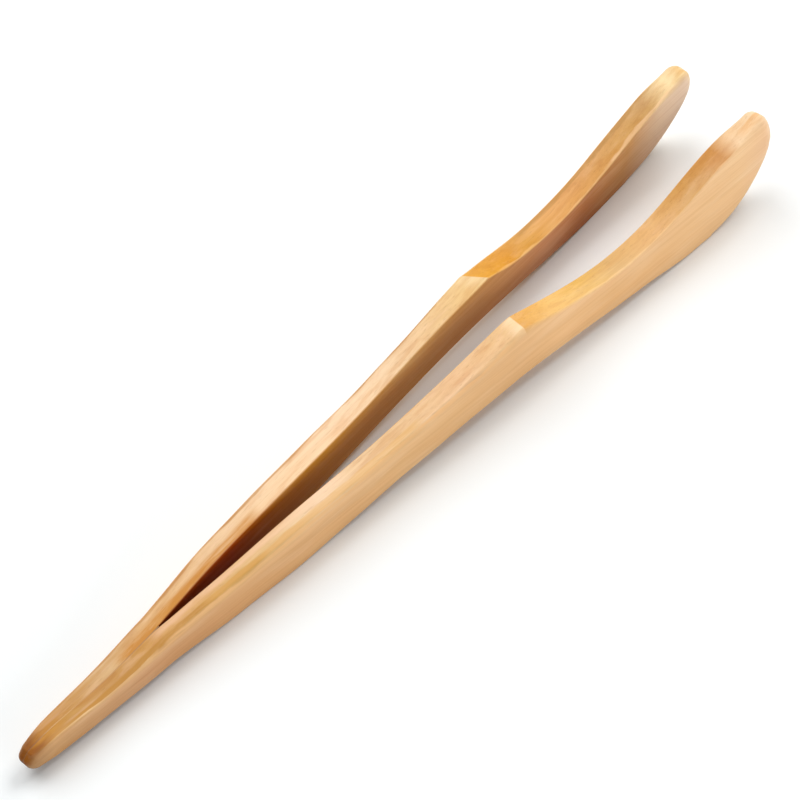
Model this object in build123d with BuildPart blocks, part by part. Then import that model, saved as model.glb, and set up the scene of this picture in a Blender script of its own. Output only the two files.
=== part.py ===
from build123d import *
import os

os.makedirs("parts", exist_ok=True)

# Sprung bamboo tongs lying on edge: two strips glued face to face at the heel, which part
# towards wide, tongue-shaped jaws. The strips bend just past the glued length, so each is
# made as a heel piece and an arm that turns on an upright axis in a round seat.
# The origin is under the middle of the tongs, on the surface that they lie on. +X runs
# towards the jaws, the rear strip is at +Y, and the front strip is its mirror image.

# Driving dimensions, in millimetres and degrees
length = 220.0            # heel end to jaw tips
heel_x = -length / 2      # every distance below is measured from here towards the jaws
glue_thickness = 0.2      # glue line between the two heels
glued_length = 37.5       # how far the strips are glued
edge_round = 0.7          # round along the strips' long edges
heel_radius = 2.2         # round of the heel's end, seen from above

# Hinge axis that stands in for the bending of each strip
hinge_distance = 40.0     # from the heel end
hinge_offset = 2.2        # from the mid-plane
knuckle_radius = 2.6      # round end of the arm
seat_clearance = 0.1      # between the arm's round end and its seat

# Edge outline of a strip, seen from the side: distance along, and height above the surface
heel_end = [(1.4, 6.9), (0.1, 5.4), (0.2, 3.6), (2.0, 1.9)]
heel_bottom = [(2.0, 1.9), (18.0, 1.2), (40.0, 1.0), (56.0, 0.0)]
# The strip rests on the surface from 56 to 68, and from 188 to 198
arch = [(68.0, 0.0), (90.0, 1.4), (115.0, 3.2), (142.0, 4.2), (165.0, 2.4), (188.0, 0.0)]
jaw_sweep = [(198.0, 0.0), (210.0, 2.3), (217.5, 8.5)]
jaw_tip = (220.0, 16.8)
jaw_crown = (214.5, 23.2)
jaw_top = [(214.5, 23.2), (200.0, 19.5), (182.0, 14.3), (165.0, 12.9), (150.0, 15.3)]
shoulder = (140.0, 18.5)  # sharp ridge where the neck is cut down
body_top = [(118.0, 15.3), (98.0, 13.1), (80.0, 12.7), (55.0, 11.4), (35.0, 9.3), (18.0, 7.6)]

# Strip sections: distance along, gap from the mid-plane to the inner face, thickness, and
# lean of the strip's top towards the mid-plane
heel_sections = [(-1.0, 0.1, 1.8, 0.0), (18.0, 0.1, 3.0, 0.0), (42.0, 0.1, 4.1, 0.0)]
arm_sections = [
    (36.0, 0.3, 3.65, 0.0),
    (50.0, 1.1, 4.1, 0.0),
    (75.0, 2.4, 4.6, 0.0),
    (110.0, 4.35, 4.75, 2.0),
    (150.0, 6.2, 5.25, 4.0),
    (185.0, 8.1, 5.4, 5.5),
    (222.0, 9.2, 5.5, 6.0),
]
section_middle = 11.0     # height that the sections lean about
section_height = 40.0     # taller than the strip, which is then cut to its outline
cut_depth = 40.0          # reach of the cuts to each side of the mid-plane


def placed(points):
    """Outline points moved from heel distances to the part's X."""
    return [(heel_x + distance, height) for distance, height in points]


def section(distance, gap, thickness, lean):
    """Cross section of the rear strip, as a leaning rectangle taller than the strip."""
    across = Plane(origin=(heel_x + distance, 0, 0), x_dir=(0, 1, 0), z_dir=(1, 0, 0))
    with BuildSketch(across) as rectangle:
        with Locations(Location((gap + thickness / 2, section_middle), lean)):
            Rectangle(thickness, section_height)
    return rectangle.sketch


# Outline of a strip from the side
with BuildSketch(Plane.XZ) as strip_outline:
    with BuildLine():
        Spline(*placed(heel_end))
        Spline(*placed(heel_bottom), tangents=[(1, -0.1), (1, 0)])
        Line(*placed([heel_bottom[-1], arch[0]]))
        Spline(*placed(arch), tangents=[(1, 0), (1, 0)])
        Line(*placed([arch[-1], jaw_sweep[0]]))
        Spline(*placed(jaw_sweep + [jaw_tip, jaw_crown]), tangents=[(1, 0), (-1, -0.3)])
        Spline(*placed(jaw_top + [shoulder]))
        Spline(*placed([shoulder] + body_top + [heel_end[0]]))
    make_face()


def long_edges(builder, outer_only=False):
    """Edges that run along the strip: all of them, or only those of its outer face."""
    shortest = 2 * knuckle_radius
    edges = builder.edges().filter_by(lambda edge: edge.bounding_box().size.X > shortest)
    if outer_only:
        edges = edges.filter_by(lambda edge: edge.center().Y > glue_thickness)
    return edges


hinge_point = (heel_x + hinge_distance, hinge_offset)

with BuildPart() as rear_arm:
    loft([section(*row) for row in arm_sections])
    extrude(strip_outline.sketch, amount=cut_depth, both=True, mode=Mode.INTERSECT)
    with BuildSketch(Plane.XY):
        with Locations(hinge_point):
            Circle(knuckle_radius)
            Rectangle(length, cut_depth, align=(Align.MIN, Align.CENTER))
    extrude(amount=cut_depth, mode=Mode.INTERSECT)
    fillet(long_edges(rear_arm), edge_round)
rear_arm.part.label = "rear_arm"

with BuildPart() as rear_heel:
    loft([section(*row) for row in heel_sections])
    extrude(strip_outline.sketch, amount=cut_depth, both=True, mode=Mode.INTERSECT)
    fillet(long_edges(rear_heel, outer_only=True), edge_round)
    with BuildSketch(Plane.XY):
        with Locations(hinge_point):
            Circle(knuckle_radius + seat_clearance)
            Rectangle(length, cut_depth, align=(Align.MIN, Align.CENTER))
    extrude(amount=cut_depth, mode=Mode.SUBTRACT)
    with BuildSketch(Plane.XY):
        with Locations((heel_x + heel_radius, 0)):
            Circle(heel_radius)
            Rectangle(length, cut_depth, align=(Align.MIN, Align.CENTER))
    extrude(amount=cut_depth, mode=Mode.INTERSECT)
rear_heel.part.label = "rear_heel"

with BuildPart() as front_arm:
    mirror(rear_arm.part, about=Plane.XZ)
front_arm.part.label = "front_arm"

with BuildPart() as front_heel:
    mirror(rear_heel.part, about=Plane.XZ)
front_heel.part.label = "front_heel"

with BuildPart() as glue_line:
    extrude(strip_outline.sketch, amount=glue_thickness / 2, both=True)
    with BuildSketch(Plane.XY):
        with Locations((heel_x, 0)):
            Rectangle(glued_length, cut_depth, align=(Align.MIN, Align.CENTER))
    extrude(amount=cut_depth, mode=Mode.INTERSECT)
glue_line.part.label = "glue_line"

for piece in (rear_heel, front_heel, glue_line, rear_arm, front_arm):
    export_step(piece.part, f"parts/{piece.part.label}.step")
    print(piece.part.label, round(piece.part.volume, 1), piece.part.is_valid)
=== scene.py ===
import math

import bmesh
import bpy
import numpy as np
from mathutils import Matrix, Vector


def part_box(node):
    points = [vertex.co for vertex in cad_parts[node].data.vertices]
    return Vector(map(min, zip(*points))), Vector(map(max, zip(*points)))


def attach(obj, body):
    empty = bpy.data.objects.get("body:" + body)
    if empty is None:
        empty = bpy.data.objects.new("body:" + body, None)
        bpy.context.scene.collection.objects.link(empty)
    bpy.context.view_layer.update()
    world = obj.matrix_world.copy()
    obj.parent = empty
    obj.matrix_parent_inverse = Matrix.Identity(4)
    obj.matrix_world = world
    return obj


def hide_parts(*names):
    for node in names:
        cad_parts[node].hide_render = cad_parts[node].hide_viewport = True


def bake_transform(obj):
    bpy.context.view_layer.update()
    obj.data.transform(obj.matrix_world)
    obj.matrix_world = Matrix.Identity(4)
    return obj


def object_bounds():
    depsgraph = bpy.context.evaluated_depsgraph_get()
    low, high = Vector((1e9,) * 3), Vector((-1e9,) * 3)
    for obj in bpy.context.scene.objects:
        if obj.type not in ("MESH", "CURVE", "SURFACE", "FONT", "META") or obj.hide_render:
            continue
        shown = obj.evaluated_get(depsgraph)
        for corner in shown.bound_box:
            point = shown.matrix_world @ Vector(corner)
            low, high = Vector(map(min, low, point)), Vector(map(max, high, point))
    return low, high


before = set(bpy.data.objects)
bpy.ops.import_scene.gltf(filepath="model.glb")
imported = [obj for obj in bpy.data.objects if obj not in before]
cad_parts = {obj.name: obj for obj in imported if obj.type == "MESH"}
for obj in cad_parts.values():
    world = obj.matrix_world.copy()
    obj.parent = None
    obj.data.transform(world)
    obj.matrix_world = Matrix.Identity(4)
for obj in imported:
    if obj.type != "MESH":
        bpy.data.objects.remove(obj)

# Sprung bamboo tongs lying on edge. Each strip is one continuous mesh that bends just past the
# glued heel, and a thin film of glue joins the two. The frame and the overall size are the CAD's.
MM = 0.001
cad_low, cad_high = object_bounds()

# ---------------------------------------------------------------------------
# Driving dimensions of a strip, in millimetres, with distances from the heel's end
# ---------------------------------------------------------------------------
HEEL_X = cad_low.x / MM
LENGTH = (cad_high.x - cad_low.x) / MM
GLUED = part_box("glue_line")[1].x / MM - HEEL_X
FILM = (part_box("glue_line")[1].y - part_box("glue_line")[0].y) / MM
SHOULDER = 140.0

HEEL_END = [(1.5, 6.9), (0.25, 5.4), (0.35, 3.6), (2.1, 1.9)]
HEEL_BOTTOM = [(2.1, 1.9), (18.0, 1.2), (40.0, 1.0), (56.0, 0.0)]
JAW_TOP = [(200.0, 19.5), (182.0, 14.3), (165.0, 12.9), (150.0, 15.3), (SHOULDER, 18.5)]
BODY_TOP = [(118.0, 15.3), (98.0, 13.1), (80.0, 12.7), (55.0, 11.4), (35.0, 9.3), (18.0, 7.6)]

# distance, inner face to mid-plane, thickness, lean of the top towards the mid-plane
SECTIONS = np.array([
    (0.0, 0.1, 2.0, 0.0),
    (18.0, 0.1, 3.1, 0.0),
    (36.0, 0.1, 3.8, 0.0),
    (50.0, 1.1, 4.15, 0.0),
    (75.0, 2.4, 4.65, 0.0),
    (110.0, 4.35, 4.75, 2.0),
    (150.0, 6.2, 5.25, 4.0),
    (185.0, 8.1, 5.4, 5.5),
    (222.0, 9.2, 5.4, 6.0),
])
LEAN_HEIGHT = 11.0        # height that the strips lean about

# Stretches over which something sets in or fades out
PARTING = (GLUED - 5, GLUED + 3)      # the inner faces leave the glue
PARTED = (GLUED - 3, GLUED + 4)       # the inner edges start to be eased
LOOSE = (GLUED, GLUED + 12)           # the inner edges start to be uneven
HEEL_ROUND = (0, 8)
UNEVEN_FROM = (6, 30)
UNEVEN_TO = (204, 218)
BEVEL_FADE = (138, 150)
BEVEL_TINT_FADE = (132, 142)
NECK = (150, 165)
NECK_CUT = (SHOULDER + 0.02, SHOULDER + 0.2)
JAW_DOMED = (176, 200)
JAW_ABOVE = (203, 215)
JAW_BELOW = (188, 213)
TIP = (207, 219)
TIP_TINT = (208, 217)

# Shares of a strip's height over which something sets in, from the bottom up
RIDGE_UP = (0.35, 1.0)
LEAN_UP = (0.3, 1.0)
LIFT_UP = (0.45, 1.0)
EDGE_UP = (0.45, 0.75)
BEVEL_IN = (0.1, 0.6)     # and shares of an eased edge over which a bevel takes the edge's colour

# Eased edges, as (depth, width): the plain round, and what each kind of wear or cut adds to it
OUTER_EASE = {
    "plain": (0.5, 0.7),
    "bevel": (0.5, 1.5),
    "neck": (-0.2, -0.3),
    "heel": (0.8, 1.0),
    "jaw": (1.5, 2.8),
    "tip": (0.5, 0.6),
}
INNER_EASE = {
    "plain": (0.01, 0.02),
    "parted": (0.34, 0.42),
    "jaw": (0.7, 1.4),
    "soft_tip": (1.0, 1.6),
}

# Unevenness left by hand: a wave's height, its length divided by 2 pi, and which phase it takes
SIDE_WAVES = [(0.05, 7.3, 0), (0.04, 3.1, 1), (0.10, 21.0, 3)]
TOP_WAVES = [(0.05, 5.3, 2), (0.08, 17.0, 4)]
TILT_WAVES = [(0.06, 11.0, 5)]
PHASES = 6

EASED_MOST = 0.45         # share of a face's height that one eased edge may take at most
LEVEL_LEAST = 0.2         # steeper stretches of the outline are eased as if they were this level
JAW_FALL = 0.35           # how far the jaw's outer face falls away towards its long edges
RIDGE_REACH = 9.0         # how far the shoulder's askew ridge pulls the surface beside it
RIDGE_WEAR = 1.2          # how far from the ridge it is worn blunt
FILM_INSET = 0.02         # keeps the glue's end just inside the strips' ends
SAME = 1e-4               # points of an outline that are closer than this are one point
MERGE = 2e-6              # mesh points closer than this become one, in metres
DEGENERATE = 1e-7         # shortest edge that a mesh keeps, in metres


# ---------------------------------------------------------------------------
# Curves
# ---------------------------------------------------------------------------
def spline(points, start=None, end=None, step=0.12):
    """Dense points along a cubic spline through points, natural at an end with no tangent."""
    p = np.array(points, float)
    n = len(p)
    h = np.hypot(*np.diff(p, axis=0).T)
    system = np.zeros((n, n))
    right = np.zeros((n, 2))
    slope = np.diff(p, axis=0) / h[:, None]
    for i in range(1, n - 1):
        system[i, i - 1:i + 2] = h[i], 2 * (h[i - 1] + h[i]), h[i - 1]
        right[i] = 3 * (h[i] * slope[i - 1] + h[i - 1] * slope[i])
    for row, near, tangent in ((0, 1, start), (n - 1, n - 2, end)):
        system[row, row] = 1 if tangent else 2
        if tangent:
            right[row] = np.array(tangent, float) / np.hypot(*tangent)
        else:
            system[row, near] = 1
            right[row] = 3 * slope[0 if row == 0 else -1]
    m = np.linalg.solve(system, right)
    dense = []
    for i in range(n - 1):
        t = np.linspace(0, 1, max(3, int(h[i] / step)), endpoint=False)[:, None]
        dense.append(
            (2 * t**3 - 3 * t**2 + 1) * p[i] + (t**3 - 2 * t**2 + t) * h[i] * m[i]
            + (3 * t**2 - 2 * t**3) * p[i + 1] + (t**3 - t**2) * h[i] * m[i + 1]
        )
    return np.vstack(dense + [p[-1:]])


def curve_through(points):
    """A smooth curve through (distance, value) points, as a function of the distance."""
    curve = spline(points, step=0.5)
    return lambda s: float(np.interp(s, curve[:, 0], curve[:, 1]))


def smooth(low, high, x):
    """0 below low, 1 above high, and a smooth rise in between."""
    t = np.clip((x - low) / (high - low), 0, 1)
    return t * t * (3 - 2 * t)


def outline(strip):
    """Closed outline of a strip from the side, counter-clockwise, as dense points."""
    arch, sweep, crown = strip.arch, strip.sweep, strip.crown
    runs = [
        spline(HEEL_END, (-0.6, -1), (1, -0.35)),
        spline(HEEL_BOTTOM, (1, -0.1), (1, 0)),
        spline(arch, (1, 0), (1, 0)),
        spline(sweep + [strip.tip, crown], (1, 0), (-1, -0.3)),
        spline([crown] + JAW_TOP, (-1, -0.3)),
        spline([(SHOULDER, JAW_TOP[-1][1])] + BODY_TOP + [HEEL_END[0]], None, (-1, -0.35)),
    ]
    points = np.vstack(runs)
    points = points[np.r_[True, np.hypot(*np.diff(points, axis=0).T) > SAME]]
    if np.hypot(*(points[0] - points[-1])) < SAME:
        points = points[:-1]
    return points


def lower_and_upper(rim):
    """The outline's lower and upper runs from heel to jaw, and 1 for each point that is on top."""
    left, right = rim[:, 0].argmin(), rim[:, 0].argmax()
    lower = rim[left:right + 1]
    upper = np.vstack([rim[right:], rim[:left + 1]])[::-1]
    on_top = np.ones(len(rim))
    on_top[left:right] = 0
    return lower, upper, on_top


def distance_to(outline_points, s, z):
    """Distance from (s, z) to the outline, and the outline point nearest to it."""
    a = outline_points
    d = np.roll(a, -1, axis=0) - a
    rel_s = s[:, None] - a[None, :, 0]
    rel_z = z[:, None] - a[None, :, 1]
    t = np.clip((rel_s * d[:, 0] + rel_z * d[:, 1]) / (d**2).sum(1), 0, 1)
    gap = np.hypot(rel_s - t * d[:, 0], rel_z - t * d[:, 1])
    nearest = gap.argmin(1)
    return gap[np.arange(len(s)), nearest], nearest


# ---------------------------------------------------------------------------
# Strips
# ---------------------------------------------------------------------------
# Cross rings along a strip: closer together over a stretch at both ends, and at the shoulder
HEEL_STRETCH = 4.0
HEEL_RINGS = 26
BODY_RINGS = 190
RIDGE_RINGS = [-1.2, -0.7, -0.4, -0.2, -0.08, 0, 0.08, 0.2, 0.4, 0.7, 1.2]
NECK_RINGS = 96
TIP_STRETCH = 9.0
TIP_RINGS = 40
FILM_RINGS = 60
# Steps along each ring
ARC_STEPS = 6             # around each eased edge
FACE_STEPS = 7            # up each face between its eased edges
FLAT_STEPS = 4            # across the top and the bottom
CREASE = math.radians(32)  # edges that turn more than this stay sharp


def station_distances(low, high):
    """Distances of a strip's cross rings between its ends at low and high."""
    heel = low + HEEL_STRETCH * (1 - np.cos(np.linspace(0, math.pi / 2, HEEL_RINGS)))
    tip = high - TIP_STRETCH * (1 - np.cos(np.linspace(math.pi / 2, 0, TIP_RINGS)))
    ridge = SHOULDER + np.array(RIDGE_RINGS)
    body = np.linspace(heel[-1], ridge[0], BODY_RINGS)
    neck = np.linspace(ridge[-1], tip[0], NECK_RINGS)
    return np.concatenate([heel, body[1:-1], ridge, neck[1:-1], tip])


class Strip:
    """What makes one strip differ from the other."""

    def __init__(self, name, side, arch, sweep, tip, crown, shift, spare, lift, ridge, skew, blunt,
                 soften, bevelled, seed):
        self.name = name
        self.side = side          # +1 for the rear strip, -1 for the front one
        self.arch = arch          # lower edge between the two places where it rests
        self.sweep = sweep        # lower edge from under the jaw towards its tip
        self.crown = crown        # highest point of the jaw
        self.tip = tip            # foremost point of the jaw
        self.shift = curve_through(shift)   # inner face away from the mid-plane
        self.spare = curve_through(spare)   # extra thickness
        self.lift = curve_through(lift)     # extra height of the top edge
        self.ridge = ridge        # how far the shoulder's ridge sits towards the jaw
        self.skew = skew          # how far the shoulder's ridge runs askew
        self.blunt = blunt        # how much the shoulder's ridge is worn down
        self.soften = soften      # extra rounding of the inner edge around the tip
        self.bevelled = bevelled  # where the bevel along the top's outer edge starts and is full
        self.phases = np.random.default_rng(seed).uniform(0, 2 * math.pi, PHASES)


gap_at = curve_through(SECTIONS[:, [0, 1]])
thickness_at = curve_through(SECTIONS[:, [0, 2]])
lean_at = curve_through(SECTIONS[:, [0, 3]])


def eased_edges(rim, on_top, strip):
    """(depth, width) of the eased edges around the outline, on the outer and inner face."""
    s = rim[:, 0]
    where = {
        "plain": np.ones(len(s)),
        "bevel": smooth(*strip.bevelled, s) * (1 - smooth(*BEVEL_FADE, s)) * on_top,
        "neck": smooth(*NECK, s) * on_top,
        "heel": 1 - smooth(*HEEL_ROUND, s),
        "jaw": np.where(on_top > 0, smooth(*JAW_ABOVE, s), smooth(*JAW_BELOW, s)),
        "parted": smooth(*PARTED, s),
        "tip": smooth(*TIP, s),
        "soft_tip": strip.soften * smooth(*TIP, s),
    }
    faces = []
    for ease in (OUTER_EASE, INNER_EASE):
        faces.append([sum(size[k] * where[kind] for kind, size in ease.items()) for k in (0, 1)])
    return faces


def face_profile(rim, s, bottom, top, eased):
    """Points up one face at s: height, how far the eased edges draw it back, and two shares.

    The shares are how far a point has turned from the face towards the edge, and how far it is
    into the eased edge.
    """
    depths, widths = eased
    arc = np.linspace(0, math.pi / 2, ARC_STEPS + 1)
    _, near = distance_to(rim, np.array([s, s]), np.array([bottom, top]))
    insets = []
    for index in near:
        tangent = rim[(index + 1) % len(rim)] - rim[index - 1]
        level = max(abs(tangent[0]) / np.hypot(*tangent), LEVEL_LEAST)
        insets.append(min(widths[index] / level, EASED_MOST * (top - bottom)))
    low = bottom + insets[0] * (1 - np.cos(arc))
    high = top - insets[1] * (1 - np.cos(arc))
    middle = np.linspace(low[-1], high[-1], FACE_STEPS + 1)[1:-1]
    z = np.concatenate([low, middle, high[::-1]])
    gap, near = distance_to(rim, np.full(len(z), s), z)
    reach = 1 - np.clip(gap / widths[near], 0, 1)
    turned = 1 - np.sqrt(1 - reach**2)
    return z, depths[near] * turned, turned, reach


def uneven(waves, phases, s):
    """Height of the summed waves at the distance s."""
    return sum(height * math.sin(s / reach + phases[k]) for height, reach, k in waves)


def cross_ring(strip, rim, lower, upper, eased, s):
    """One closed ring around the strip at s, with what the material needs to know about it."""
    bottom = np.interp(s, lower[:, 0], lower[:, 1])
    top = np.interp(s, upper[:, 0], upper[:, 1])
    height = max(top - bottom, 1e-6)
    outer_z, outer_drop, outer_turned, outer_reach = face_profile(rim, s, bottom, top, eased[0])
    inner_z, inner_drop, inner_turned, _ = face_profile(rim, s, bottom, top, eased[1])
    opening = max(gap_at(s) + strip.shift(s) - FILM / 2, 0.0)
    gap = FILM / 2 + opening * smooth(*PARTING, s)
    thick = thickness_at(s) + strip.spare(s)
    lean = math.radians(max(lean_at(s), 0.0))

    # the ring runs up the outer face, over the top, down the inner face and under the bottom
    up_outer = (outer_z - bottom) / height
    fall = JAW_FALL * smooth(*JAW_DOMED, s) * (2 * up_outer - 1) ** 2 * (1 - 0.5 * up_outer)
    off_outer = thick / 2 - outer_drop - fall
    off_inner = -(thick / 2 - inner_drop)
    flat_top = np.linspace(off_outer[-1], off_inner[-1], FLAT_STEPS + 1)[1:-1]
    flat_bottom = np.linspace(off_inner[0], off_outer[0], FLAT_STEPS + 1)[1:-1]
    off = np.concatenate([off_outer, flat_top, off_inner[::-1], flat_bottom])
    level_top = np.full(FLAT_STEPS - 1, top)
    level_bottom = np.full(FLAT_STEPS - 1, bottom)
    z = np.concatenate([outer_z, level_top, inner_z[::-1], level_bottom])
    up = np.clip((z - bottom) / height, 0, 1)
    across = off / thick

    # the shoulder's ridge runs a little askew across the strip, and is worn blunt
    near_ridge = math.exp(-((s - SHOULDER) / RIDGE_REACH) ** 2)
    along = (strip.ridge - strip.skew * across) * near_ridge * smooth(*RIDGE_UP, up)
    lift = strip.lift(s) - strip.blunt * math.exp(-abs(s - SHOULDER) / RIDGE_WEAR)

    # hand-shaped unevenness, fading out towards the heel, the tip and the glue
    free = smooth(*UNEVEN_FROM, s) * (1 - smooth(*UNEVEN_TO, s))
    side_wave = uneven(SIDE_WAVES, strip.phases, s) * free * np.clip(2 * across, 0, 1)
    loose = np.clip(across + 0.5 + smooth(*LOOSE, s), 0, 1)
    tilt = uneven(TILT_WAVES, strip.phases, s) * 2 * across
    top_wave = (uneven(TOP_WAVES, strip.phases, s) + tilt) * free * loose
    y_lean = (off - (z - LEAN_HEIGHT) * math.sin(lean)) / math.cos(lean)
    y = gap + thick / 2 + y_lean + side_wave
    z_lean = z + off * math.sin(lean) * smooth(*LEAN_UP, up)
    z_out = z_lean + (lift + top_wave) * smooth(*LIFT_UP, up)
    points = np.c_[HEEL_X + s + along, strip.side * y, z_out]

    # how much of a point is on the top edge, on the inner face and on the neck's cut
    bevel = smooth(*strip.bevelled, s) * (1 - smooth(*BEVEL_TINT_FADE, s))
    outer_edge = outer_turned + (smooth(*BEVEL_IN, outer_reach) - outer_turned) * bevel
    flat = np.ones(FLAT_STEPS - 1)
    edge = np.concatenate([outer_edge, flat, inner_turned[::-1], flat])
    edge *= np.maximum(smooth(*EDGE_UP, up), smooth(*TIP_TINT, s))
    inner_face = np.clip(0.5 - across * 1.4, 0, 1)
    cut = smooth(*NECK_CUT, s) * edge
    layers = {
        "grain": np.c_[np.full(len(z), s), off, z],
        "faces": np.c_[edge, inner_face, cut],
        "share": np.c_[across, up, np.zeros(len(z))],
    }
    return points, layers


def tube(rings, size):
    """Quads that join rings of the same size, one after the other."""
    quads = []
    for i in range(rings - 1):
        for j in range(size):
            a, b = i * size + j, i * size + (j + 1) % size
            quads.append((a, b, b + size, a + size))
    return quads


def build_strip(strip):
    """One continuous strip, as cross rings joined along its length."""
    rim = outline(strip)
    lower, upper, on_top = lower_and_upper(rim)
    eased = eased_edges(rim, on_top, strip)
    verts = []
    layers = {"grain": [], "faces": [], "share": []}
    for s in station_distances(lower[0, 0], lower[-1, 0]):
        points, values = cross_ring(strip, rim, lower, upper, eased, s)
        verts.append(points)
        for label in layers:
            layers[label].append(values[label])
    quads = tube(len(verts), len(verts[0]))
    return finished(strip.name, np.vstack(verts) * MM, quads, layers)


def finished(name, points, polygons, layers):
    """A closed, smooth-shaded object with its attribute layers; only real creases stay sharp."""
    mesh = bpy.data.meshes.new(name)
    mesh.from_pydata(points.tolist(), [], polygons)
    for label, values in layers.items():
        attribute = mesh.attributes.new(label, "FLOAT_VECTOR", "POINT")
        attribute.data.foreach_set("vector", np.vstack(values).astype(np.float32).ravel())
    bm = bmesh.new()
    bm.from_mesh(mesh)
    bmesh.ops.remove_doubles(bm, verts=bm.verts, dist=MERGE)
    bmesh.ops.dissolve_degenerate(bm, edges=bm.edges, dist=DEGENERATE)
    bmesh.ops.recalc_face_normals(bm, faces=bm.faces)
    open_edges = [edge for edge in bm.edges if not edge.is_manifold]
    for face in bm.faces:
        face.smooth = True
    for edge in bm.edges:
        edge.smooth = edge.calc_face_angle(0) < CREASE
    volume = round(bm.calc_volume() / MM**3)
    print(name, "verts", len(bm.verts), "open edges", len(open_edges), "volume", volume)
    bm.to_mesh(mesh)
    bm.free()
    piece = bpy.data.objects.new(name, mesh)
    bpy.context.scene.collection.objects.link(piece)
    return piece


def build_film(strip):
    """The glue between the two heels: a thin sheet, flush with the strips' edges."""
    lower, upper, _ = lower_and_upper(outline(strip))
    start = lower[0, 0] + FILM_INSET
    half = FILM / 2
    points, grain, faces, share = [], [], [], []
    stations = start + (GLUED - start) * (1 - np.cos(np.linspace(0, math.pi / 2, FILM_RINGS)))
    for s in stations:
        top = np.interp(s, upper[:, 0], upper[:, 1])
        bottom = np.interp(s, lower[:, 0], lower[:, 1])
        ring = ((-half, bottom), (half, bottom), (half, top), (0, top), (-half, top))
        for y, z in ring:
            points.append(((HEEL_X + s) * MM, y * MM, z * MM))
            grain.append((s, y, z))
            faces.append((1.0, 0.0, 0.0))
            share.append((0.0, (z - bottom) / (top - bottom), 0.0))
    polygons = tube(len(stations), len(ring))
    polygons.append(tuple(range(len(ring))))
    polygons.append(tuple(range(len(points) - len(ring), len(points))))
    layers = {"grain": grain, "faces": faces, "share": share}
    return finished("glue_film", np.array(points), polygons, layers)


# ---------------------------------------------------------------------------
# Materials
# ---------------------------------------------------------------------------
def srgb(hexa):
    """Linear colour of a #rrggbb colour."""
    values = [int(hexa[i:i + 2], 16) / 255 for i in (1, 3, 5)]
    return [v / 12.92 if v <= 0.04045 else ((v + 0.055) / 1.055) ** 2.4 for v in values] + [1.0]


class Nodes:
    """Short calls for building one material's node tree."""

    def __init__(self, name):
        self.material = bpy.data.materials.new(name)
        self.material.use_nodes = True
        self.tree = self.material.node_tree
        self.tree.nodes.clear()

    def add(self, kind, **settings):
        node = self.tree.nodes.new(kind)
        for key, value in settings.items():
            setattr(node, key, value)
        return node

    def link(self, source, target):
        self.tree.links.new(source, target)

    def parts(self, vector):
        node = self.add("ShaderNodeSeparateXYZ")
        self.link(vector, node.inputs[0])
        return node.outputs

    def value(self, operation, a, b=None, c=None):
        node = self.add("ShaderNodeMath", operation=operation)
        for socket, item in zip(node.inputs, (a, b, c)):
            if item is None:
                continue
            if isinstance(item, (int, float)):
                socket.default_value = item
            else:
                self.link(item, socket)
        return node.outputs[0]

    def vector(self, operation, vector, amounts):
        node = self.add("ShaderNodeVectorMath", operation=operation)
        self.link(vector, node.inputs[0])
        node.inputs[1].default_value = amounts
        return node.outputs[0]

    def noise(self, vector, detail, roughness, distortion):
        node = self.add("ShaderNodeTexNoise", noise_dimensions="3D")
        self.link(vector, node.inputs["Vector"])
        node.inputs["Scale"].default_value = 1.0
        node.inputs["Detail"].default_value = detail
        node.inputs["Roughness"].default_value = roughness
        node.inputs["Distortion"].default_value = distortion
        return node.outputs["Fac"]

    def remap(self, value, low, high, to_low=0.0, to_high=1.0):
        node = self.add("ShaderNodeMapRange", interpolation_type="SMOOTHSTEP")
        self.link(value, node.inputs["Value"])
        node.inputs["From Min"].default_value = low
        node.inputs["From Max"].default_value = high
        node.inputs["To Min"].default_value = to_low
        node.inputs["To Max"].default_value = to_high
        return node.outputs["Result"]

    def ramp(self, value, stops):
        node = self.add("ShaderNodeValToRGB")
        self.link(value, node.inputs["Fac"])
        elements = node.color_ramp.elements
        while len(elements) > 1:
            elements.remove(elements[-1])
        for i, (place, colour) in enumerate(stops):
            element = elements[0] if i == 0 else elements.new(place)
            element.position = place
            element.color = srgb(colour)
        return node.outputs["Color"]

    def mix(self, factor, a, b, blend="MIX"):
        node = self.add("ShaderNodeMix", data_type="RGBA", blend_type=blend)
        self.link(factor, node.inputs[0])
        for socket, item in ((node.inputs[6], a), (node.inputs[7], b)):
            if isinstance(item, str):
                socket.default_value = srgb(item)
            else:
                self.link(item, socket)
        return node.outputs[2]

    def surface(self, shader):
        output = self.add("ShaderNodeOutputMaterial")
        self.link(shader.outputs["BSDF"], output.inputs["Surface"])
        return self.material


# Noises in the grain: how many to a millimetre along and across it, detail, roughness, distortion
NOISES = {
    "streaks": (0.018, 1.1, 5.0, 0.6, 0.0),
    "fibres": (0.06, 6.0, 3.0, 0.6, 0.0),
    "clouds": (0.05, 0.25, 3.0, 0.5, 0.0),
    "mottle": (0.07, 0.6, 3.0, 0.5, 0.3),
    "wavy": (0.09, 0.5, 3.0, 0.5, 0.4),
    "dashes": (0.30, 3.0, 2.0, 0.5, 0.0),
}
# Tints laid over the faces' own colours, painted highlight and shade among them
TOP_HIGHLIGHT = "#FFD4A0"          # painted highlight on the outer face, towards its top
LOW_SHADE = "#B88A50"          # painted shade on the outer face, towards its bottom
SHADE = "#9A6844"         # inner face, towards its bottom
STREAK = "#B98550"
FIBRE = "#A87443"
CLOUD = "#FFE9C8"
GOLDEN = "#D89A44"
ROSY = "#FFD9BE"
FLECK = "#8E5A26"
# painted highlight where the shoulder's rounded ridge catches the light
RIDGE_HIGHLIGHT = "#FBE3BC"
BURNISH = "#9A6026"

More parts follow.
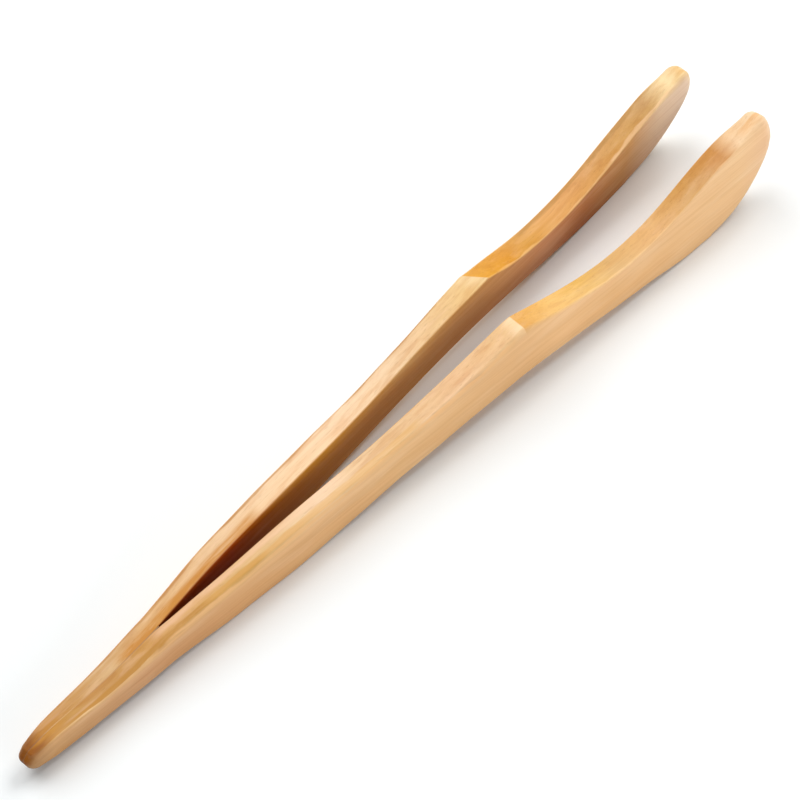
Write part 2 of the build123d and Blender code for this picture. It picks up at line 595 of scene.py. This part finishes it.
# Places and lengths along the strip
STRIPE_FADE = 5.0           # length over which a vein or painted band fades out at both ends
RIDGE_LIGHT_RISE = (SHOULDER - 4.5, SHOULDER - 0.4)        # where the painted highlight before the ridge sets in
RIDGE_LIGHT_FALL = (SHOULDER - 0.1, SHOULDER + 0.3)
BURNISH_FADE = (1.5, 7.5)                       # where the burnished heel end fades out
RAGGED = 9.0              # how far the burnished heel end's boundary wanders
BUMP_DISTANCE = 0.00012   # metres


def shares(stops):
    """Colour stops given in millimetres along the strip, as shares of its length."""
    return [(min(place / LENGTH, 1.0), colour) for place, colour in stops]


def band(n, value, low, high, fade):
    """1 where value is between low and high, fading out over fade on both sides."""
    rise = n.remap(value, low - fade, low)
    fall = n.remap(value, high, high + fade, 1.0, 0.0)
    return n.value("MULTIPLY", rise, fall)


class Bamboo(Nodes):
    """Bamboo that takes its colours from the layers that a strip's mesh carries."""

    def __init__(self, name, offset):
        super().__init__(name)
        grain = self.layer("grain")
        faces = self.layer("faces")
        share = self.layer("share")
        shifted = self.vector("ADD", grain, offset)
        self.distance = self.parts(grain)[0]
        self.on_edge, self.on_inner, self.on_cut = self.parts(faces)
        self.across, self.up, _ = self.parts(share)
        self.off_edge = self.value("SUBTRACT", 1.0, self.on_edge)
        self.place = self.value("DIVIDE", self.distance, LENGTH)
        self.noises = {}
        for label, (along, across, detail, roughness, distortion) in NOISES.items():
            stretched = self.vector("MULTIPLY", shifted, (along, across, across))
            self.noises[label] = self.noise(stretched, detail, roughness, distortion)

    def layer(self, label):
        return self.add("ShaderNodeAttribute", attribute_name=label).outputs["Vector"]

    def face_colours(self, outer, inner, edge, neck):
        """Base colour of each face, along the strip and up it, with painted light and shade: a
        highlight towards the top of the outer face, and shade towards the bottom of the outer and the
        inner face.
        """
        colour = self.ramp(self.place, shares(outer))
        # painted highlight: the outer face is lighter towards its top, where its rounded arris catches
        # the light
        lit = self.value("MULTIPLY", self.remap(self.up, 0.55, 1.0, 0.0, 0.32), self.off_edge)
        colour = self.mix(lit, colour, TOP_HIGHLIGHT)
        # painted shade: the outer face is darker towards its bottom, near the floor
        low_shade = self.value("MULTIPLY", self.remap(self.up, 0.0, 0.4, 0.22, 0.0), self.off_edge)
        colour = self.mix(low_shade, colour, LOW_SHADE)
        inside = self.ramp(self.place, shares(inner))
        shaded = self.remap(self.up, 0.0, 0.75, 0.40, 0.0)
        inside = self.mix(shaded, inside, SHADE, "MULTIPLY")
        colour = self.mix(self.on_inner, colour, inside)
        colour = self.mix(self.on_edge, colour, self.ramp(self.place, shares(edge)))
        return self.mix(self.on_cut, colour, self.ramp(self.place, shares(neck)))

    def grained(self, colour):
        """Darker streaks and fibres, and lighter clouds."""
        streaks = self.remap(self.noises["streaks"], 0.38, 0.7, 0.0, 0.13)
        colour = self.mix(streaks, colour, STREAK, "MULTIPLY")
        fibres = self.remap(self.noises["fibres"], 0.42, 0.75, 0.0, 0.10)
        colour = self.mix(fibres, colour, FIBRE, "MULTIPLY")
        clouds = self.remap(self.noises["clouds"], 0.45, 0.7, 0.0, 0.08)
        return self.mix(clouds, colour, CLOUD, "SCREEN")

    def mottled(self, colour):
        """Golden and rosy patches, mostly on the top edge."""
        mottle = self.noises["mottle"]
        on_edge = self.value("MULTIPLY", self.on_edge, 0.17)
        patchy = self.value("MULTIPLY_ADD", self.on_cut, -0.09, on_edge)
        golden = self.remap(mottle, 0.50, 0.64)
        golden = self.value("MULTIPLY", golden, self.value("ADD", patchy, 0.04))
        colour = self.mix(golden, colour, GOLDEN, "MULTIPLY")
        rosy = self.remap(mottle, 0.34, 0.46, 1.0, 0.0)
        rosy = self.value("MULTIPLY", rosy, self.value("MULTIPLY", patchy, 0.7))
        return self.mix(rosy, colour, ROSY)

    def flecks(self):
        """How much of a point is on a short dark fleck."""
        strength = self.value("MULTIPLY_ADD", self.on_edge, 0.13, 0.03)
        return self.value("MULTIPLY", self.remap(self.noises["dashes"], 0.60, 0.72), strength)

    def veined_and_lit(self, colour, veins_and_light):
        """Veins, lighter bands, painted highlights and painted shade along the top edge."""
        for low, high, fade, start, end, strength, tint in veins_and_light:
            across = self.value("SUBTRACT", self.across, 0.15)
            across = self.value("MULTIPLY_ADD", self.noises["wavy"], 0.3, across)
            stripe = band(self, across, low, high, fade)
            stripe = self.value("MULTIPLY", stripe, band(self, self.distance, start, end, STRIPE_FADE))
            broken = self.remap(self.noises["streaks"], 0.3, 0.55, 0.45, 1.0)
            stripe = self.value("MULTIPLY", stripe, self.value("MULTIPLY", self.on_edge, broken))
            colour = self.mix(self.value("MULTIPLY", stripe, strength), colour, tint)
        return colour

    def ridge_lit(self, colour, strength):
        """A painted highlight just before the shoulder's ridge, where its rounding catches the light.
        """
        ridge_light = self.value("MULTIPLY", self.remap(self.distance, *RIDGE_LIGHT_RISE), self.on_edge)
        end = self.remap(self.distance, *RIDGE_LIGHT_FALL, 1.0, 0.0)
        ridge_light = self.value("MULTIPLY", ridge_light, end)
        patchy = self.remap(self.noises["wavy"], 0.36, 0.56, 0.5, 1.0)
        ridge_light = self.value("MULTIPLY", ridge_light, patchy)
        return self.mix(self.value("MULTIPLY", ridge_light, strength), colour, RIDGE_HIGHLIGHT)

    def burnished(self, colour):
        """The handled, burnished heel end, with a ragged boundary."""
        middle = self.value("ADD", self.distance, RAGGED / 2)
        ragged = self.value("MULTIPLY_ADD", self.noises["wavy"], -RAGGED, middle)
        strength = self.value("MULTIPLY_ADD", self.on_edge, 0.35, 0.3)
        burnish = self.value("MULTIPLY", self.remap(ragged, *BURNISH_FADE, 1.0, 0.0), strength)
        return self.mix(burnish, colour, BURNISH, "MULTIPLY")

    def relief(self, flecks):
        """Normal of a surface with raised fibres and streaks, and sunken flecks."""
        streaks = self.value("MULTIPLY", self.noises["streaks"], 0.4)
        height = self.value("ADD", self.value("MULTIPLY", self.noises["fibres"], 0.6), streaks)
        height = self.value("SUBTRACT", height, self.value("MULTIPLY", flecks, 0.8))
        bump = self.add("ShaderNodeBump")
        bump.inputs["Strength"].default_value = 0.25
        bump.inputs["Distance"].default_value = BUMP_DISTANCE
        self.link(height, bump.inputs["Height"])
        return bump.outputs["Normal"]


def bamboo(name, faces, offset, veins_and_light, ridge_light_strength):
    """Bamboo with the colour stops of its four faces. offset gives it a grain of its own."""
    n = Bamboo(name, offset)
    flecks = n.flecks()
    colour = n.mottled(n.grained(n.face_colours(*faces)))
    colour = n.mix(flecks, colour, FLECK, "MULTIPLY")
    colour = n.veined_and_lit(colour, veins_and_light)
    colour = n.burnished(n.ridge_lit(colour, ridge_light_strength))
    shader = n.add("ShaderNodeBsdfPrincipled")
    n.link(colour, shader.inputs["Base Color"])
    n.link(n.relief(flecks), shader.inputs["Normal"])
    n.link(n.remap(n.noises["streaks"], 0.3, 0.7, 0.44, 0.58), shader.inputs["Roughness"])
    n.link(n.remap(n.on_inner, 0.2, 0.9, 0.3, 0.08), shader.inputs["Specular IOR Level"])
    shader.inputs["Coat Weight"].default_value = 0.03
    shader.inputs["Coat Roughness"].default_value = 0.3
    return n.surface(shader)


# ---------------------------------------------------------------------------
# Camera, floor and light
# ---------------------------------------------------------------------------
AZIMUTH = math.radians(-48.04)
ELEVATION = math.radians(53.22)
DISTANCE = 0.5478         # from the camera to its target, in metres
TARGET = Vector((0.0064, 0.0067, 0.0))
LENS = 114.1              # millimetres
SENSOR_WIDTH = 36.0       # millimetres

FLOOR_REACH = 3.0         # metres to each side
FLOOR_DROP = 0.00005      # keeps the floor just clear of the strips, in metres
FLOOR_COLOUR = (0.86, 0.885, 0.89, 1)
SKY_STRENGTH = 0.31

# name, place, size and power of each soft light, in metres and watts
LIGHTS = [
    ("key", (-0.05, 0.52, 0.80), (0.85, 0.85), 6.5),
    ("axial", (0.6, 0.0, 0.8), (0.5, 0.5), 4.7),
    ("fill", (0.25, -0.95, 0.35), (1.4, 0.5), 4.3),
]


def look(thing, target):
    """Turn a camera or a light, which look along their own -Z, towards the target."""
    thing.rotation_euler = (thing.location - target).to_track_quat("Z", "Y").to_euler()


def make_camera():
    """The photo's view: from above, between the heel's end and the front strip's side."""
    back = Vector((
        math.sin(AZIMUTH) * math.cos(ELEVATION),
        -math.cos(AZIMUTH) * math.cos(ELEVATION),
        math.sin(ELEVATION),
    ))
    data = bpy.data.cameras.new("camera")
    data.lens = LENS
    data.sensor_width = SENSOR_WIDTH
    data.clip_start = 0.01
    camera = bpy.data.objects.new("camera", data)
    camera.location = TARGET + back * DISTANCE
    look(camera, TARGET)
    bpy.context.scene.collection.objects.link(camera)
    bpy.context.scene.camera = camera


def make_floor():
    """A plain white surface under the tongs."""
    r = FLOOR_REACH
    mesh = bpy.data.meshes.new("floor")
    mesh.from_pydata([(-r, -r, 0), (r, -r, 0), (r, r, 0), (-r, r, 0)], [], [(0, 1, 2, 3)])
    floor = bpy.data.objects.new("floor", mesh)
    floor.location.z = cad_low.z - FLOOR_DROP
    bpy.context.scene.collection.objects.link(floor)
    n = Nodes("floor_white")
    shader = n.add("ShaderNodeBsdfPrincipled")
    shader.inputs["Base Color"].default_value = FLOOR_COLOUR
    shader.inputs["Roughness"].default_value = 0.9
    shader.inputs["Specular IOR Level"].default_value = 0.1
    mesh.materials.append(n.surface(shader))


def make_light(name, location, size, power):
    """A soft rectangular light that shines on the tongs."""
    data = bpy.data.lights.new(name, "AREA")
    data.shape = "RECTANGLE"
    data.size, data.size_y = size
    data.energy = power
    light = bpy.data.objects.new(name, data)
    light.location = location
    look(light, Vector((0, 0, 0)))
    bpy.context.scene.collection.objects.link(light)


def make_studio():
    """Floor, even white sky and soft lights."""
    make_floor()
    world = bpy.data.worlds.new("studio")
    bpy.context.scene.world = world
    world.use_nodes = True
    background = world.node_tree.nodes["Background"]
    background.inputs["Color"].default_value = (1, 1, 1, 1)
    background.inputs["Strength"].default_value = SKY_STRENGTH
    for light in LIGHTS:
        make_light(*light)
    bpy.context.scene.view_settings.view_transform = "Standard"


make_camera()
make_studio()

# ---------------------------------------------------------------------------
# The two strips and the glue
# ---------------------------------------------------------------------------
REAR = Strip(
    "rear_strip", 1,
    arch=[(68.0, 0.0), (90.0, 1.3), (115.0, 2.9), (142.0, 3.8), (165.0, 1.9), (187.0, 0.0)],
    sweep=[(198.0, 0.0), (210.0, 2.3), (217.3, 8.5)],
    tip=(219.5, 16.9),
    crown=(214.2, 23.0),
    shift=[(0, 0), (60, 0), (110, 0), (150, -0.15), (188, -0.15), (208, 0.45), (222, 0.5)],
    spare=[(0, 0), (30, 0.1), (60, 0.35), (85, 0.35), (110, 0.1), (135, 0.15), (160, 0), (190, 0.1),
           (208, 0.3), (222, 0.2)],
    lift=[(0, 0), (110, 0), (222, 0)],
    ridge=1.2, skew=4.3, blunt=0.0, soften=0.4, bevelled=(70, 132), seed=11,
)
FRONT = Strip(
    "front_strip", -1,
    arch=[(68.0, 0.0), (90.0, 1.4), (115.0, 3.3), (140.0, 3.8), (165.0, 2.5), (180.0, 1.2),
          (193.0, 0.0)],
    sweep=[(198.0, 0.0), (209.6, 2.4), (217.4, 8.6)],
    tip=(219.8, 16.6),
    crown=(215.0, 22.7),
    shift=[(0, 0), (30, 0), (60, 0), (90, -0.4), (118, -0.7), (140, -0.5), (160, -0.2), (190, -0.25),
           (222, -0.35)],
    spare=[(0, 0), (22, -0.05), (37, 0.15), (52, -0.15), (72, 0.05), (95, 0.3), (118, 0.5),
           (140, 0.25), (160, 0), (185, 0.2), (202, 0.7), (222, 0.65)],
    lift=[(0, 0), (30, 0), (60, 0), (88, 0), (108, 0.25), (122, 0.1), (150, 0.2), (172, -0.1),
          (192, 0.2), (207, 0.4), (222, 0)],
    ridge=-2.2, skew=0.5, blunt=0.25, soften=1.1, bevelled=(22, 42), seed=23,
)
rear_strip = build_strip(REAR)
front_strip = build_strip(FRONT)
film = build_film(FRONT)

# ---------------------------------------------------------------------------
# Colours along the strips, by distance from the heel's end
# ---------------------------------------------------------------------------
OUTER = [(0, "#BA8A4A"), (6, "#CA9559"), (30, "#CF9661"), (60, "#DEA86D"), (100, "#E8B77C"),
         (135, "#E8B57A"), (150, "#F2BF84"), (165, "#EAB577"), (207, "#F2C38B"), (220, "#EEBE91")]
# the rear inner face's colours hold painted shade: darkest brown near the split, where the front strip
# hides it from the light, and paler towards the tip
INNER_TONE_AND_SHADE = [(0, "#663302"), (40, "#893702"), (60, "#AE4A04"), (75, "#C17C14"), (90, "#D19434"),
         (105, "#D29A50"), (120, "#D49E54"), (150, "#D1995E"), (165, "#CB8C5C"), (180, "#BA773E"),
         (195, "#D19D5C"), (207, "#ECD0B0"), (220, "#F1D8C0")]
FRONT_INNER = [(0, "#8A5A22"), (40, "#A06A30"), (60, "#B67C40"), (100, "#CE9A5C"), (150, "#DAAC72"),
               (207, "#E4BC88"), (220, "#E6C090")]
REAR_EDGE = [(0, "#C08234"), (12, "#B98440"), (25, "#D6B080"), (40, "#D5A263"), (60, "#E3BE92"),
             (80, "#EECAA0"), (100, "#EFCDA6"), (120, "#E4BE90"), (140, "#E3BE7F"), (220, "#F1D8A7")]
REAR_NECK = [(140, "#DC9E39"), (152, "#D29031"), (160, "#CC923C"), (170, "#D69C57"), (182, "#D29957"),
             (194, "#CA9650"), (204, "#C2965B"), (211, "#F0D29D"), (220, "#F0D5A3")]
FRONT_EDGE = [(0, "#CA882C"), (12, "#BE8E4C"), (25, "#BD863C"), (40, "#D19F60"), (60, "#D4AB6E"),
              (80, "#EBCBA6"), (100, "#E0BA8A"), (120, "#E2B687"), (140, "#E4B980"), (220, "#EED2AA")]
FRONT_NECK = [(140, "#DAA04E"), (150, "#E8BA70"), (158, "#DDAE5C"), (168, "#D5AA6E"), (180, "#DEAC6F"),
              (192, "#CC9650"), (203, "#C58947"), (208, "#E6C094"), (220, "#EED2AA")]
# painted shade: the glue darkens towards the split, where the strips part
FILM_TONE_AND_SHADE = [(0, "#B88444"), (12, "#C8985A"), (24, "#C0905A"), (36, "#A87A48"), (40, "#94683C")]

# Veins, lighter bands, painted highlights and painted shade along the top edge: across from, to and
# fade, in shares of the thickness; distance from and to; strength; tint
REAR_VEINS_AND_LIGHT = [
    (-0.60, -0.20, 0.25, 30, 66, 0.80, "#C27E28"),
    (0.38, 0.60, 0.10, 8, 128, 0.85, "#B47A38"),
    (0.05, 0.16, 0.10, 6, 30, 0.35, "#C08A3C"),
    # painted shade along the jaw's outer edge
    (0.34, 0.60, 0.10, 162, 208, 0.65, "#B07C38"),
    # painted highlights where the rounded inner edge catches the light
    (-0.60, -0.44, 0.05, 148, 190, 0.30, "#F6CC92"),
    (-0.60, -0.38, 0.08, 190, 212, 0.45, "#F6CFA4"),
    # painted highlight over the top of the rounded tip
    (-0.60, 0.60, 0.10, 216, 224, 0.50, "#D09A48"),
]
FRONT_VEINS_AND_LIGHT = [
    (0.10, 0.28, 0.11, 14, 60, 0.85, "#B67E2A"),
    (0.08, 0.42, 0.10, 50, 104, 0.60, "#D8A45A"),
    (0.36, 0.44, 0.05, 4, 30, 0.60, "#F0CC98"),
    # partly the outer face's own colour carried onto the bevel, partly a painted highlight along the
    # outer arris
    (0.42, 0.60, 0.07, 26, 136, 0.85, "#F0BC80"),
    (-0.60, -0.30, 0.30, 38, 84, 0.55, "#F0C6A6"),
    # painted highlight along the jaw's outer crease
    (0.42, 0.60, 0.05, 158, 206, 0.45, "#F4CA96"),
    (0.00, 0.60, 0.10, 213, 224, 0.50, "#DC9C50"),
]

# offsets of the grain, so that no two pieces share one
REAR_GRAIN = (0, 0, 0)
FRONT_GRAIN = (340, 17, 31)
FILM_GRAIN = (120, 5, 9)

rear_faces = (OUTER, INNER_TONE_AND_SHADE, REAR_EDGE, REAR_NECK)
front_faces = (OUTER, FRONT_INNER, FRONT_EDGE, FRONT_NECK)
film_faces = (OUTER, INNER_TONE_AND_SHADE, FILM_TONE_AND_SHADE, FILM_TONE_AND_SHADE)
bamboo_rear = bamboo("bamboo_rear", rear_faces, REAR_GRAIN, REAR_VEINS_AND_LIGHT, ridge_light_strength=0.30)
bamboo_front = bamboo("bamboo_front", front_faces, FRONT_GRAIN, FRONT_VEINS_AND_LIGHT, ridge_light_strength=0.42)
# the amber glue takes the colour of the bamboo beside it, and darkens towards the split with painted
# shade where the strips part
amber = bamboo("glue_film", film_faces, FILM_GRAIN, [], ridge_light_strength=0.0)

# ---------------------------------------------------------------------------
# Which nodes each piece replaces; the glue film is carried by the heel's body
# ---------------------------------------------------------------------------
for piece, material, body, nodes, slot in (
    (rear_strip, bamboo_rear, "rear_strip_arm", ("rear_heel", "rear_arm"), "rear_bamboo"),
    (front_strip, bamboo_front, "front_strip_arm", ("front_heel", "front_arm"), "front_bamboo"),
):
    piece.data.materials.append(material)
    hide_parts(*nodes)
    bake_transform(piece)

film.data.materials.append(amber)
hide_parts("glue_line")
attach(film, "heel")
